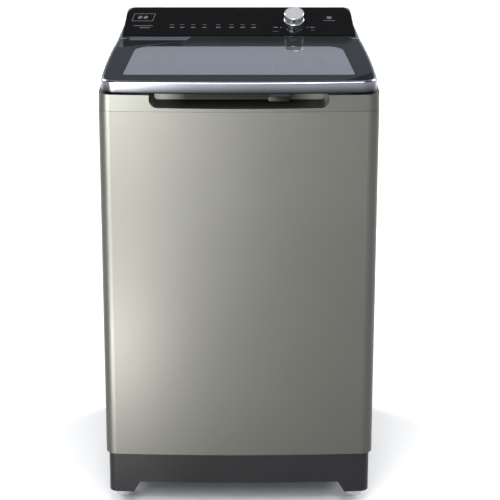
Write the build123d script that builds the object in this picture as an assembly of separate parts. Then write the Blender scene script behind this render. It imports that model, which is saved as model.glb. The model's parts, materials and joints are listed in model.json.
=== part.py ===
from build123d import *
import math
import os

# Top load washing machine, in millimetres. X is right, Y is back, Z is up, and the floor is Z = 0.

# Outside of the cabinet
width = 590.0
overall_depth = 610.0       # lid trim to the ends of the inlet spigots
cabinet_depth = 590.0       # lid trim to the rear panel's outer face
foot_height = 32.0          # floor to the base
base_height = 95.0
shell_height = 784.0
apron_height = 35.5         # shell to the deck, at the front
bow = 10.0                  # how far the front bulges
corner_radius = 25.0
sheet = 1.0                 # steel sheet
wall = 3.0                  # moulded wall
apron_setback = 2.0         # lid trim's overhang past the apron
top_slope = 2.0             # degrees, deck and lid rise to the back
shoulder = 27.0             # how far the top frame leans in at its back corners
shoulder_height = 60.0

# Lid
lid_gap = 3.0
lid_thickness = 26.5
lid_front_inset = 6.0       # cabinet's side to the lid's
lid_rear_inset = 26.0
lid_rear_y = 72.0
lid_side_bulge = 5.0
lid_lean = 0.6              # the tilted lid's top edge reaches this far forward
lid_corner_radius = 32.0
lid_rim = 6.0               # width of the trim and the side skirts
lid_border = 46.0           # lid's edge to the clear window
glass_thickness = 4.0
trim_length = 46.0          # how far back the silver trim reaches
pivot_inset = 6.0           # hinge axis to the lid's rear edge and to its top
pin_radius = 3.0

# Console
console_gap = 4.0
console_run = 86.0          # plan depth of the sloping face
console_tilt = 28.0         # degrees from level
console_inset_low = 27.0     # cabinet's side to the console's
console_inset_crease = 32.0
console_inset_top = 39.0
console_rear_run = 18.0     # depth and height of the bevel at the console's back
console_rear_drop = 44.0    # console's ridge to that bevel
fascia_thickness = 3.0
knob_x = 125.0
knob_up = 53.0              # along the face from its lower edge
knob_radius = 22.5
knob_height = 20.0
stem_radius = 4.0

# Loading opening and its parts
opening_half = 200.0
opening_front_y = -248.0
opening_rear_y = 52.0
opening_corner = 110.0
collar_drop = 16.0          # how far the collar hangs below the shell's top
scoop_half = 192.0
scoop_depth = 34.0
scoop_floor = 5.0           # scoop's lower edge above the shell
scoop_corner = 21.0
scoop_taper = 20.0
lock_x = 84.0
drawer_half = 74.5
drawer_length = 130.0
drawer_height = 34.0
drawer_drop = 10.0          # drawer's floor below the shell's top

# Tub, basket and drive, all about one upright axis
axis_y = -10.0
tub_radius = 262.0
tub_wall = 3.5
tub_lift = 203.0            # base's top to the tub's floor
tub_headroom = 45.0         # tub's rim to the shell's top
basket_gap = 20.5           # tub's wall to the basket's
basket_lift = 19.0          # tub's floor to the basket's
basket_drop = 48.0          # tub's rim to the top of the basket's wall
balance_height = 40.0
balance_width = 38.0
pulsator_gap = 68.0
pulsator_lift = 11.0
shaft_radius = 8.0
spin_shaft_radius = 12.5
motor_x = 155.0
motor_radius = 62.0
motor_shaft_radius = 6.0
drive_pulley_radius = 85.0
motor_pulley_radius = 28.0
pulley_width = 20.0
pulley_gap = 8.0            # pulley to the clutch housing
clutch_height = 84.0
plate_thickness = 6.0

# Suspension
rod_side_gap = 73.0         # cabinet's sides and back to the rods
rod_front_gap = 71.0
bracket_cut = 44.0          # how far a corner bracket reaches in past its rod
rod_radius = 4.0
bracket_drop = 31.0         # brackets below the shell's top
ear_lift = 56.0
ear_thickness = 8.0
spring_length = 78.0
spring_wire = 3.0
spring_mean_radius = 12.5
spring_turns = 7

# Feet and base
base_inset = 6.0
base_wall = 4.0
leg_length = 61.0
foot_radius = 19.0
foot_inset = 35.0           # cabinet's side to a foot's axis
foot_setback = 79.0
stud_radius = 5.0
cutout_height = 25.0

# Water and power connections
spigot_radius = 13.2
spigot_bore = 8.0
spigot_collar = 1.8         # the thread's root stands out this far inside the back wall
spigot_lift = 24.0          # above the shell's top
spigot_x = (-205.0, -150.0)
drain_lift = 28.0           # above the base
drain_radius = 15.0

# Clearances
fit = 0.05                  # running and locating fits, on the radius
slide = 0.5                 # drawer and bolt, each side
seat = 0.02                 # between pieces that rest together on a curved face

front_y = -overall_depth / 2
rear_y = front_y + cabinet_depth
spigot_end_y = overall_depth / 2
shell_front_y = front_y + apron_setback
base_z = foot_height
shell_z = base_z + base_height
seam_z = shell_z + shell_height
deck_z = seam_z + apron_height
lid_z = deck_z + lid_gap
tan_slope = math.tan(math.radians(top_slope))
console_y = lid_rear_y + console_gap
crease_z = lid_z + lid_thickness + (console_y - front_y) * tan_slope
console_top_z = crease_z + console_run * math.tan(math.radians(console_tilt))
pivot_y = lid_rear_y - pivot_inset
pivot_z = lid_z + lid_thickness + (pivot_y - front_y) * tan_slope - pivot_inset
lid_front_half = width / 2 - lid_front_inset
lid_rear_half = width / 2 - lid_rear_inset
console_half_low = width / 2 - console_inset_low
console_half_crease = width / 2 - console_inset_crease
console_half_top = width / 2 - console_inset_top
collar_low = seam_z - collar_drop
drawer_floor = seam_z - drawer_drop
spigot_z = seam_z + spigot_lift
drain_z = shell_z + drain_lift
foot_x = width / 2 - foot_inset
tub_floor = shell_z + tub_lift
tub_top = seam_z - tub_headroom
basket_radius = tub_radius - tub_wall - basket_gap
basket_floor = tub_floor + basket_lift
basket_top = tub_top - basket_drop
balance_inner = basket_radius - balance_width
pulsator_radius = basket_radius - pulsator_gap
pulsator_low = basket_floor + pulsator_lift
plate_low = tub_floor - plate_thickness
clutch_low = plate_low - clutch_height
pulley_high = clutch_low - pulley_gap
pulley_low = pulley_high - pulley_width
bracket_z = seam_z - bracket_drop
ear_z = tub_floor + ear_lift
spring_head = ear_z - 4.0
spring_foot = spring_head - spring_length
low = (Align.CENTER, Align.CENTER, Align.MIN)
big = 2000.0

console_face = Plane(
    origin=(0, console_y, crease_z),
    x_dir=(1, 0, 0),
    z_dir=(0, -math.sin(math.radians(console_tilt)), math.cos(math.radians(console_tilt))),
)


def block(x0, x1, y0, y1, z0, z1):
    size = Box(x1 - x0, y1 - y0, z1 - z0)
    return Pos((x0 + x1) / 2, (y0 + y1) / 2, (z0 + z1) / 2) * size


def rod(radius, z0, z1, x=0.0, y=axis_y):
    return Pos(x, y, z0) * Cylinder(radius, z1 - z0, align=low)


def tube(outer, inner, z0, z1, x=0.0, y=axis_y):
    return rod(outer, z0, z1, x, y) - rod(inner, z0 - 1, z1 + 1, x, y)


def across(radius, x0, x1, y, z):
    return Pos(x0, y, z) * Rot(Y=90) * Cylinder(radius, x1 - x0, align=low)


def along(radius, y0, y1, x, z):
    return Pos(x, y0, z) * Rot(X=-90) * Cylinder(radius, y1 - y0, align=low)


def on_face(shape, x, up, out):
    return console_face.location * Pos(x, up, out) * shape


def outline(inset=0.0, rear_half=width / 2):
    half = width / 2 - inset
    front = shell_front_y + inset
    rear = rear_y - inset
    left, right = (-half, front + bow), (half, front + bow)
    back_right, back_left = (rear_half - inset, rear), (inset - rear_half, rear)
    face = make_face([
        ThreePointArc(left, (0, front), right),
        Line(right, back_right),
        Line(back_right, back_left),
        Line(back_left, left),
    ])
    return fillet(face.vertices().sort_by(Axis.Y)[:2], max(corner_radius - inset, 2.0))


def ring(outer, inner, z0, z1):
    return extrude(Pos(0, 0, z0) * (outline(outer) - outline(inner)), amount=z1 - z0)


def under_slope(z_at_front):
    slab = Box(big, big, big, align=(Align.CENTER, Align.CENTER, Align.MAX))
    return Pos(0, front_y, z_at_front) * Rot(X=top_slope) * slab


def slope_z(z_at_front, y):
    return z_at_front + (y - front_y) * tan_slope


# Base and feet

def foot_places():
    front = shell_front_y + foot_setback
    rear = rear_y - base_inset - leg_length / 2
    return {
        "front_left": (-foot_x, front),
        "front_right": (foot_x, front),
        "rear_left": (-foot_x, rear),
        "rear_right": (foot_x, rear),
    }


def base_cutout(length, slant):
    profile = Polyline(
        (-length / 2 - slant, base_z - 1),
        (length / 2 + slant, base_z - 1),
        (length / 2 - slant, base_z + cutout_height),
        (-length / 2 + slant, base_z + cutout_height),
        close=True,
    )
    return extrude(Plane.XZ * make_face(profile), amount=big / 2, both=True)


def make_base_frame():
    inner = base_inset + base_wall
    frame = ring(base_inset, inner, base_z, shell_z)
    frame += ring(base_inset, base_inset + 28, shell_z - 5, shell_z)
    legs = extrude(Pos(0, 0, base_z) * outline(base_inset), amount=40)
    half = width / 2
    reach = leg_length + base_inset
    corner_blocks = Part()
    for x, y in foot_places().values():
        corner_blocks += block(x - 34, x + 34, y - 34, y + 34, base_z, base_z + 40)
    frame += legs & corner_blocks
    span = 2 * (half - reach)
    frame -= base_cutout(span, 8)
    depth_span = rear_y - shell_front_y - 2 * (reach + 30)
    frame -= Pos(0, (rear_y + shell_front_y) / 2 + 18, 0) * Rot(Z=90) * base_cutout(depth_span, 8)
    for x, y in foot_places().values():
        frame += rod(12, base_z, base_z + 40, x, y)
        frame -= rod(stud_radius + fit, base_z - 1, base_z + 41, x, y)
    return frame


def make_foot(x, y):
    pad = rod(foot_radius, 0, 5, x, y)
    pad = fillet(pad.edges().group_by(Axis.Z)[0], 1.5)
    body = rod(foot_radius - 1, 5, foot_height - 8, x, y)
    body = fillet(body.edges().group_by(Axis.Z)[-1], 3)
    stud = rod(stud_radius, foot_height - 8, foot_height + 36, x, y)
    return Compound(children=[pad, body + stud])


def make_foot_lock_nuts():
    nuts = []
    for x, y in foot_places().values():
        nut = extrude(Pos(x, y, base_z - 7) * RegularPolygon(9.2, 6), amount=7)
        nuts.append(nut - rod(stud_radius + fit, base_z - 8, base_z + 1, x, y))
    return Compound(children=nuts)


# Cabinet sheets

def make_cabinet_shell():
    shell = ring(0, sheet, shell_z, seam_z)
    shell += ring(0, 20, shell_z, shell_z + sheet)
    shell += ring(0, 12, seam_z - sheet, seam_z)
    shell -= block(-big, big, rear_y - sheet, big, 0, big)
    for side in (-1, 1):
        edge = side * (width / 2 - sheet / 2)
        inner = side * (width / 2 - 16)
        x0, x1 = min(edge, inner), max(edge, inner)
        shell += block(x0, x1, rear_y - 2 * sheet, rear_y - sheet, shell_z, seam_z)
    return shell


cover_half, cover_z0, cover_z1 = 160.0, shell_z + 63, shell_z + 433


def cover_screw_places():
    for x in (-cover_half + 12, cover_half - 12):
        for z in (cover_z0 + 12, (cover_z0 + cover_z1) / 2, cover_z1 - 12):
            yield x, z


gland_x, gland_z, gland_hole = 215.0, shell_z + 513, 9.0


def make_rear_panel():
    panel = block(-width / 2, width / 2, rear_y - sheet, rear_y, shell_z, seam_z)
    window = RectangleRounded(2 * cover_half - 50, cover_z1 - cover_z0 - 50, 20)
    window = Plane.XZ * Pos(0, (cover_z0 + cover_z1) / 2) * window
    panel -= Pos(0, rear_y - sheet / 2, 0) * extrude(window, amount=5, both=True)
    panel -= along(drain_radius + 1, rear_y - 5, rear_y + 5, 0, drain_z)
    panel -= along(gland_hole, rear_y - 5, rear_y + 5, gland_x, gland_z)
    for x, z in cover_screw_places():
        panel -= along(2.0 + fit, rear_y - 5, rear_y + 5, x, z)
    return panel


def make_rear_access_cover():
    plate = RectangleRounded(2 * cover_half, cover_z1 - cover_z0, 16)
    plate = Plane.XZ * Pos(0, (cover_z0 + cover_z1) / 2) * plate
    cover = Pos(0, rear_y, 0) * extrude(plate, amount=-1.2)
    for x, z in cover_screw_places():
        cover -= along(2.0 + fit, rear_y - 5, rear_y + 5, x, z)
    return cover


def make_rear_cover_screws():
    screws = []
    for x, z in cover_screw_places():
        head = along(4.5, rear_y + 1.2, rear_y + 3.6, x, z)
        slot = block(x - 3, x + 3, rear_y + 2.8, rear_y + 4, z - 0.5, z + 0.5)
        screws.append(head - slot + along(2.0, rear_y - 8, rear_y + 1.2, x, z))
    return Compound(children=screws)


def make_cord_gland():
    flange = along(14, rear_y, rear_y + 3, gland_x, gland_z)
    neck = along(8, rear_y - 8, rear_y + 14, gland_x, gland_z)
    nut = along(12, rear_y - 8, rear_y - sheet, gland_x, gland_z)
    return flange + neck + nut - along(4.5, rear_y - 9, rear_y + 15, gland_x, gland_z)


# Top frame

def opening_face(grow=0.0):
    length = opening_rear_y - opening_front_y
    face = RectangleRounded(2 * opening_half + 2 * grow, length + 2 * grow, opening_corner + grow)
    return Pos(0, (opening_rear_y + opening_front_y) / 2) * face


def scoop(grow):
    start = shell_front_y - 6
    tall = 90.0
    face = RectangleRounded(2 * (scoop_half + grow), tall + 2 * grow, scoop_corner + grow)
    face = Plane.XZ * Pos(0, seam_z + scoop_floor + tall / 2) * face
    depth = scoop_depth + 6 + grow
    return Pos(0, start, 0) * extrude(face, amount=-depth, taper=scoop_taper)


def lofted_block(inset):
    lower = Pos(0, 0, seam_z) * outline(inset)
    upper = Pos(0, 0, seam_z + shoulder_height) * outline(inset, width / 2 - shoulder)
    return loft([lower, upper], ruled=True)


lock_half = 22.0
lock_front_y = shell_front_y + scoop_depth - 4
lock_rear_y = lock_front_y + 38
lock_floor = seam_z + 14.0
hook_y = lock_front_y + 23
bolt_z = lock_floor + 12.2
hook_half_y = 7.0
drawer_front_y = opening_rear_y - 3
housing_front_y = opening_rear_y
housing_half = drawer_half + slide + wall
housing_floor = drawer_floor - slide - wall
housing_top = drawer_floor + drawer_height + slide + wall
housing_rear_y = drawer_front_y + drawer_length + 6


def make_top_frame():
    outer = lofted_block(0)
    body = outer & under_slope(deck_z)
    hollow = lofted_block(wall) & under_slope(deck_z - wall)
    body -= hollow
    shell_room = outline(wall)
    scoop_back = scoop(wall) & extrude(Pos(0, 0, seam_z) * shell_room, amount=80)
    body += scoop_back & under_slope(deck_z)
    body -= scoop(0)
    height = deck_z + 30 - collar_low
    collar = extrude(Pos(0, 0, collar_low) * opening_face(wall), amount=height)
    body += collar & under_slope(deck_z)
    body -= extrude(Pos(0, 0, collar_low - 5) * opening_face(), amount=height + 10)
    body -= ring(-5, 1.2, seam_z - 1, seam_z + 1.2)
    body -= block(
        -housing_half - slide, housing_half + slide, opening_rear_y - 20, opening_rear_y + 20,
        housing_floor - 20, housing_top + slide,
    )
    lock_room = block(
        lock_x - lock_half - 0.3, lock_x + lock_half + 0.3, lock_front_y - 8, lock_rear_y,
        lock_floor - 0.3, big,
    )
    body -= lock_room & under_slope(deck_z - wall)
    body -= block(lock_x - 5.5, lock_x + 5.5, hook_y - 13, hook_y + 11, lock_floor, big)
    for x in spigot_x:
        body -= along(spigot_radius + spigot_collar + 0.3, rear_y - 8, rear_y + 5, x, spigot_z)
    return body


# Lid, modelled flat and then tilted with the deck

def lid_outline(inset=0.0):
    front = front_y + lid_lean + inset
    left, right = (inset - lid_front_half, front + bow), (lid_front_half - inset, front + bow)
    rear = lid_rear_y - inset
    back_left, back_right = (inset - lid_rear_half, rear), (lid_rear_half - inset, rear)
    middle = (lid_front_half + lid_rear_half) / 2 + lid_side_bulge - inset
    middle_y = (front + bow + rear) / 2
    face = make_face([
        ThreePointArc(left, (0, front), right),
        ThreePointArc(right, (middle, middle_y), back_right),
        Line(back_right, back_left),
        ThreePointArc(back_left, (-middle, middle_y), left),
    ])
    face = fillet(face.vertices().sort_by(Axis.Y)[:2], max(lid_corner_radius - inset, 2.0))
    return fillet(face.vertices().sort_by(Axis.Y)[-2:], 3.0)


def lid_place(shape):
    return Pos(0, front_y, lid_z) * Rot(X=top_slope) * Pos(0, -front_y, 0) * shape


def lid_layer(inset, z0, z1):
    return extrude(Pos(0, 0, z0) * lid_outline(inset), amount=z1 - z0)


glass_low = lid_thickness - glass_thickness
carrier_low = 14.0
knuckle_x = lid_rear_half - 23
knuckle_y = lid_rear_y - 24
notch = (lid_rear_half - 16, lid_rear_half - 6)
strip_face_x = (24 - lid_rear_half, 163 - lid_rear_half)
strip_y = (lid_rear_y - 38, lid_rear_y - 8)
strip_depth = 0.6
trim_end_y = front_y + trim_length


def lid_block():
    body = lid_layer(0, 0, lid_thickness)
    body = fillet(body.edges().group_by(Axis.Z)[-1], 5.0)
    return fillet(body.edges().group_by(Axis.Z)[0], 4.0)


def knuckles(z0, z1):
    left = block(-big, -knuckle_x, knuckle_y, big, z0, z1)
    return left + mirror(left, Plane.YZ)


def lid_window():
    side = lid_border - 6
    window = lid_layer(side, -1, lid_thickness)
    return window & block(-big, big, front_y + lid_border + 2, lid_rear_y - 34, -1, lid_thickness + 1)


def make_lid_front_trim():
    trim = lid_block() - lid_layer(lid_rim, -1, lid_thickness + 1)
    return lid_place(trim - block(-big, big, trim_end_y, big, -1, big))


def make_lid_frame():
    rim = lid_rim + 0.1
    skirt = lid_block() - lid_layer(rim, -1, lid_thickness + 1)
    skirt -= block(-big, big, -big, trim_end_y + 0.1, -1, big)
    corners = lid_block() & knuckles(8, lid_thickness)
    frame = skirt + lid_layer(rim, carrier_low, glass_low) + corners - lid_window()
    frame = lid_place(frame)
    for side in (-1, 1):
        x0, x1 = sorted((side * notch[0], side * notch[1]))
        frame -= block(x0, x1, knuckle_y - 1, big, 0, big)
    frame -= across(pin_radius + fit, -lid_rear_half + 2, lid_rear_half - 2, pivot_y, pivot_z)
    return frame


def strip_face(grow=0.0):
    x0, x1 = strip_face_x[0] - grow, strip_face_x[1] + grow
    y0, y1 = strip_y[0] - grow, strip_y[1] + grow
    slant = 12.0
    return make_face(Polyline((x0, y0), (x1 - slant, y0), (x1, y1), (x0, y1), close=True))


def make_lid_glass():
    glass = lid_layer(lid_rim + 0.3, glass_low, lid_thickness)
    glass -= knuckles(0, big) + Pos(0, -0.2, 0) * knuckles(0, big)
    glass -= extrude(Pos(0, 0, lid_thickness - strip_depth) * strip_face(), amount=5)
    return lid_place(glass)


def make_lid_accent_strip():
    strip = extrude(Pos(0, 0, lid_thickness - strip_depth) * strip_face(-seat), amount=strip_depth)
    return lid_place(strip)


def make_lid_hook():
    top = under_slope(lid_z + carrier_low)
    plate_z = slope_z(lid_z + carrier_low, hook_y) - 3
    base_plate = block(lock_x - 12, lock_x + 12, hook_y - 10, hook_y + 10, plate_z, big) & top
    blade = block(
        lock_x - 3.5, lock_x + 3.5, hook_y - hook_half_y, hook_y + hook_half_y, bolt_z - 6.2, big,
    )
    hook = base_plate + (blade & top)
    return hook - block(lock_x - 9, lock_x + 9, hook_y - 3.7, hook_y + 3.7, bolt_z - 3.7, bolt_z + 3.7)


def make_lid_bumpers():
    feet = []
    front_x, rear_x = lid_front_half - 53, lid_rear_half - 39
    front_row, rear_row = front_y + 70, lid_rear_y - 57
    for x, y in ((-front_x, front_row), (front_x, front_row), (-rear_x, rear_row), (rear_x, rear_row)):
        post = rod(6, deck_z - 5, lid_z + 80, x, y) & under_slope(lid_z + carrier_low)
        feet.append(post - under_slope(deck_z + 0.2))
    return Compound(children=feet)


def make_hinge_brackets():
    brackets = []
    for side in (-1, 1):
        x0, x1 = sorted((side * (notch[0] + 1), side * (notch[1] - 1)))
        foot_z = slope_z(deck_z, pivot_y)
        ear = block(x0, x1, pivot_y - 7, pivot_y + 5, foot_z - 10, pivot_z + 1)
        ear += across(5.5, x0, x1, pivot_y, pivot_z)
        ear -= under_slope(deck_z)
        ear -= across(pin_radius + fit, x0 - 1, x1 + 1, pivot_y, pivot_z)
        brackets.append(ear)
    return Compound(children=brackets)


def make_hinge_pins():
    pins = []
    for side in (-1, 1):
        x0, x1 = sorted((side * (knuckle_x + 2), side * (lid_rear_half - 2.5)))
        pins.append(across(pin_radius, x0, x1, pivot_y, pivot_z))
    return Compound(children=pins)


# Lid lock

def bolt_room():
    return block(
        lock_x - 19, lock_x + 12, hook_y - 3 - slide, hook_y + 3 + slide,
        bolt_z - 3 - slide, bolt_z + 3 + slide,
    )


def make_lid_lock_housing():
    case = block(lock_x - lock_half, lock_x + lock_half, lock_front_y, lock_rear_y, lock_floor, big)
    case = case & under_slope(deck_z - wall)
    case -= block(lock_x - 5, lock_x + 5, hook_y - 12, hook_y + 10, lock_floor + 4, big)
    return case - bolt_room()


def make_lock_bolt():
    return block(lock_x - 18, lock_x - 5.5, hook_y - 3, hook_y + 3, bolt_z - 3, bolt_z + 3)


# Console

def console_profile(drop):
    normal = (-math.sin(math.radians(console_tilt)), math.cos(math.radians(console_tilt)))
    foot_front = slope_z(deck_z, console_y)
    foot_rear = slope_z(deck_z, rear_y)
    top_y = console_y + console_run
    points = [
        (console_y, foot_front),
        (console_y, crease_z - drop / math.cos(math.radians(console_tilt))),
        (top_y - drop * normal[0], console_top_z - drop * normal[1]),
        (rear_y - console_rear_run, console_top_z - console_rear_drop),
        (rear_y, console_top_z - console_rear_drop - console_rear_run),
        (rear_y, foot_rear),
    ]
    face = make_face(Polyline(*points, close=True))
    ridge = face.vertices().sort_by(Axis.Y)[2]
    return fillet(ridge, 7.0)


def extrude_side(face, half):
    return extrude(Plane.YZ * face, amount=half, both=True)


def console_front_view():
    top = console_top_z + 0.5
    shoulder_x, shoulder_y = 25.0, 15.0
    half = console_half_top
    arc = EllipticalCenterArc(
        (half - shoulder_x, top - shoulder_y), shoulder_x, shoulder_y, start_angle=0, arc_size=90,
    )
    right = [
        Line((0, deck_z - 10), (console_half_low, deck_z - 10)),
        Line((console_half_low, deck_z - 10), (console_half_crease, crease_z)),
        Line((console_half_crease, crease_z), (half, top - shoulder_y)),
        arc,
        Line((half - shoulder_x, top), (0, top)),
    ]
    face = make_face(right + [Line((0, top), (0, deck_z - 10))])
    face += mirror(face, Plane.YZ)
    return extrude(Plane.XZ * face, amount=big / 2, both=True)


def knob_bore(radius):
    return on_face(Cylinder(radius, 80), knob_x, knob_up, 0)


board_x0, board_x1, board_low, board_high = -215.0, 165.0, 14.0, 74.0
board_top = -14.0


def make_console_housing():
    body = extrude_side(console_profile(fascia_thickness), 300) & console_front_view()
    cavity = offset(console_profile(fascia_thickness), amount=-wall)
    body -= extrude_side(cavity, console_half_top - 12)
    wall_back = -fascia_thickness - wall
    for x in (board_x0 + 8, board_x1 - 8):
        for up in (board_low + 8, board_high - 8):
            length = -board_top + wall_back
            post = Pos(0, 0, wall_back - length / 2) * Cylinder(3.5, length + 0.5)
            body += on_face(post, x, up, 0.25)
    return body - knob_bore(stem_radius + fit)


def make_console_fascia():
    skin = extrude_side(console_profile(0), 300) - extrude_side(console_profile(fascia_thickness), 301)
    return (skin & console_front_view()) - knob_bore(stem_radius + fit)


def make_control_board():
    board = Box(board_x1 - board_x0, board_high - board_low, 1.6)
    middle = ((board_x0 + board_x1) / 2, (board_low + board_high) / 2)
    board = on_face(board, middle[0], middle[1], board_top - 0.8)
    for x, size in ((-160, 26), (-100, 18), (-40, 22), (20, 16), (70, 24)):
        board += on_face(Box(size, size * 0.8, 6), x, middle[1], board_top - 4.6)
    return board


def make_dial_encoder():
    case = Box(22, 22, 8)
    shaft_hole = Pos(0, 0, 2) * Cylinder(stem_radius + fit, 8)
    return on_face(case - shaft_hole, knob_x, knob_up, board_top + 4)


def make_dial_knob():
    skirt = Pos(0, 0, 0.5) * Cylinder(knob_radius, knob_height, align=low)
    skirt = fillet(skirt.edges().group_by(Axis.Z)[-1], 1.2)
    skirt -= Pos(0, 0, knob_height - 0.7) * Cylinder(knob_radius - 2.2, 2, align=low)
    skirt -= Pos(0, 0, 0) * Cylinder(knob_radius - 3, knob_height - 4, align=low)
    stem = Pos(0, 0, board_top + 3) * Cylinder(stem_radius, knob_height - board_top - 6, align=low)
    skirt += stem
    skirt -= Pos(0, -knob_radius - 0.4, 6) * Box(3.0, 2.4, 16)
    return on_face(skirt, knob_x, knob_up, 0)


def make_dial_cap():
    disc = Pos(0, 0, knob_height - 0.7) * Cylinder(knob_radius - 2.2 - fit, 1.0, align=low)
    return on_face(disc, knob_x, knob_up, 0)


# Water

def make_dispenser_housing():
    body = block(
        -housing_half, housing_half, housing_front_y, housing_rear_y, housing_floor, housing_top,
    )
    body -= block(
        -housing_half + wall, housing_half - wall, housing_front_y - 1, housing_rear_y - wall,
        housing_floor + wall, housing_top - wall,
    )
    hangers = Part()
    for x in (-60, 60):
        hangers += block(x - 4, x + 4, housing_front_y + 12, housing_rear_y - 10, housing_top, big)
    body += hangers & under_slope(deck_z - wall)
    inlet = across(hose_bore, -housing_half - 1, -housing_half + wall + 1, hose_y, hose_z)
    return body - inlet


hose_radius = 8.0
hose_bore = 5.5
hose_y = 150.0
hose_z = seam_z + 11.0


def make_detergent_drawer():
    y1 = drawer_front_y + drawer_length
    z0, z1 = drawer_floor, drawer_floor + drawer_height
    tray = block(-drawer_half, drawer_half, drawer_front_y, y1, z0, z1)
    tray -= block(-drawer_half + 2, -1, drawer_front_y + 6, y1 - 2, z0 + 2, z1 + 1)
    tray -= block(1, drawer_half - 2, drawer_front_y + 6, y1 - 2, z0 + 2, z1 + 1)
    pull = block(-26, 26, drawer_front_y - 1, drawer_front_y + 4, z0 + 6, z0 + 16)
    return tray - pull


def make_inlet_valve():
    x0, x1 = spigot_x[0] - 20, spigot_x[1] + 20
    front, rear = rear_y - wall - 38, rear_y - wall
    body = block(x0, x1, rear - 6, rear, spigot_z - 17, spigot_z + 17)
    for x in spigot_x:
        body += along(spigot_radius, rear - 1, spigot_end_y, x, spigot_z)
        body += along(spigot_radius + spigot_collar, rear - 1, rear_y - 1, x, spigot_z)
        body += block(x - 16, x + 16, front + 6, rear - 5, spigot_z - 14, spigot_z + 14)
    body += block(x0 + 8, x1 - 8, front, front + 8, spigot_z - 14, spigot_z + 10)
    for x in spigot_x:
        body -= along(spigot_bore, rear - 20, spigot_end_y + 1, x, spigot_z)
    return body


def make_inlet_hose():
    start_y = rear_y - wall - 38
    x = spigot_x[1] - 10
    path = FilletPolyline(
        (x, start_y, hose_z), (x, hose_y, hose_z), (-housing_half, hose_y, hose_z), radius=32,
    )
    section = Plane(origin=(x, start_y, hose_z), z_dir=(0, -1, 0)) * (
        Circle(hose_radius) - Circle(hose_bore)
    )
    return sweep(section, path=path)


# Tub

def rod_places():
    rows = ((-1, shell_front_y + rod_front_gap), (1, rear_y - rod_side_gap))
    for sx in (-1, 1):
        for sy, y in rows:
            yield sx * (width / 2 - rod_side_gap), y, sx, sy


drain_place = (0.0, axis_y + 170.0)
plate_x = (-150.0, 228.0)
plate_half_y = 82.0
neck_radius = 24.0


def make_outer_tub():
    tub = rod(tub_radius, tub_floor, tub_top)
    for x, y, sx, sy in rod_places():
        reach = math.hypot(x, y - axis_y) + 22
        angle = math.degrees(math.atan2(y - axis_y, x))
        ear = block(tub_radius - 60, reach, -28, 28, ear_z, ear_z + ear_thickness)
        web = block(tub_radius - 60, tub_radius + 22, -4, 4, ear_z + ear_thickness - 1, ear_z + 60)
        tub += Pos(0, axis_y, 0) * Rot(Z=angle) * (ear + web)
    tub -= rod(tub_radius - tub_wall, tub_floor + 4, tub_top + 1)
    for x, y, sx, sy in rod_places():
        tub -= rod(rod_radius + 1, ear_z - 1, ear_z + 20, x, y)
    tub -= rod(neck_radius + fit, tub_floor - 1, tub_floor + 10)
    tub -= rod(16, tub_floor - 1, tub_floor + 10, *drain_place)
    return tub


def make_tub_ring():
    plate = tube(tub_radius + 3, balance_inner + 5, tub_top, tub_top + 4)
    return plate + tube(tub_radius + 3, tub_radius + 0.3, tub_top - 16, tub_top + 1)


def make_mounting_plate():
    y0, y1 = axis_y - plate_half_y, axis_y + plate_half_y
    plate = block(plate_x[0], plate_x[1], y0, y1, plate_low, tub_floor)
    plate = fillet(plate.edges().filter_by(Axis.Z), 20)
    return plate - rod(neck_radius + 0.5, plate_low - 1, tub_floor + 1)


bearing_radius = 19.0
bearing_height = 12.0
bearing_floors = (plate_low - 36.0, tub_floor - 5.0)
clutch_radius = 60.0
chamber_top = plate_low - 38


def make_clutch_housing():
    case = rod(clutch_radius, clutch_low, plate_low)
    case = fillet(case.edges().group_by(Axis.Z)[0], 8)
    case += rod(neck_radius, plate_low - 1, tub_floor + 8)
    case -= rod(bearing_radius + fit, chamber_top, tub_floor + 10)
    case -= rod(45, clutch_low + 6, chamber_top)
    return case - rod(shaft_radius + fit, clutch_low - 1, clutch_low + 10)


def make_main_bearings():
    rings = [
        tube(bearing_radius, spin_shaft_radius + fit, z, z + bearing_height) for z in bearing_floors
    ]
    return Compound(children=rings)


def make_motor():
    body = rod(motor_radius, clutch_low - 2, plate_low, motor_x)
    body = fillet(body.edges().group_by(Axis.Z)[0], 10)
    for angle in range(0, 360, 30):
        groove = Rot(Z=angle) * Pos(motor_radius + 1, 0, 0) * Box(5, 6, 50)
        body -= Pos(motor_x, axis_y, (clutch_low + plate_low) / 2) * groove
    return body - rod(motor_shaft_radius + fit, clutch_low - 10, clutch_low + 8, motor_x)


def loop_face(r1, r2):
    spread = (r1 - r2) / motor_x
    rise = math.sqrt(1 - spread * spread)
    sides = Polyline(
        (r1 * spread, r1 * rise),
        (motor_x + r2 * spread, r2 * rise),
        (motor_x + r2 * spread, -r2 * rise),
        (r1 * spread, -r1 * rise),
        close=True,
    )
    return make_face(sides) + Circle(r1) + Pos(motor_x, 0) * Circle(r2)


groove_depth = 5.0


def make_drive_belt():
    inner = loop_face(drive_pulley_radius - groove_depth + 0.3, motor_pulley_radius - groove_depth + 0.3)
    outer = loop_face(drive_pulley_radius - 0.7, motor_pulley_radius - 0.7)
    z0, z1 = pulley_low + 5.5, pulley_high - 5.5
    return extrude(Pos(0, axis_y, z0) * (outer - inner), amount=z1 - z0)


def pulley(radius, bore, x=0.0):
    wheel = rod(radius, pulley_low, pulley_high, x)
    wheel -= tube(radius + 1, radius - groove_depth, pulley_low + 5, pulley_high - 5, x)
    return wheel - rod(bore + fit, pulley_low - 1, pulley_high + 1, x)


def make_drive_pulley():
    wheel = pulley(drive_pulley_radius, shaft_radius)
    dish = tube(drive_pulley_radius - groove_depth - 5, 22, pulley_low - 1, pulley_low + 7)
    return wheel - dish


drain_valve_low = tub_floor - 60


def make_drain_valve():
    x, y = drain_place
    body = rod(26, drain_valve_low, tub_floor, x, y)
    body += block(x + 10, x + 62, y - 18, y + 18, tub_floor - 45, tub_floor - 15)
    return body - rod(16, drain_valve_low - 1, tub_floor + 1, x, y)


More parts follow.
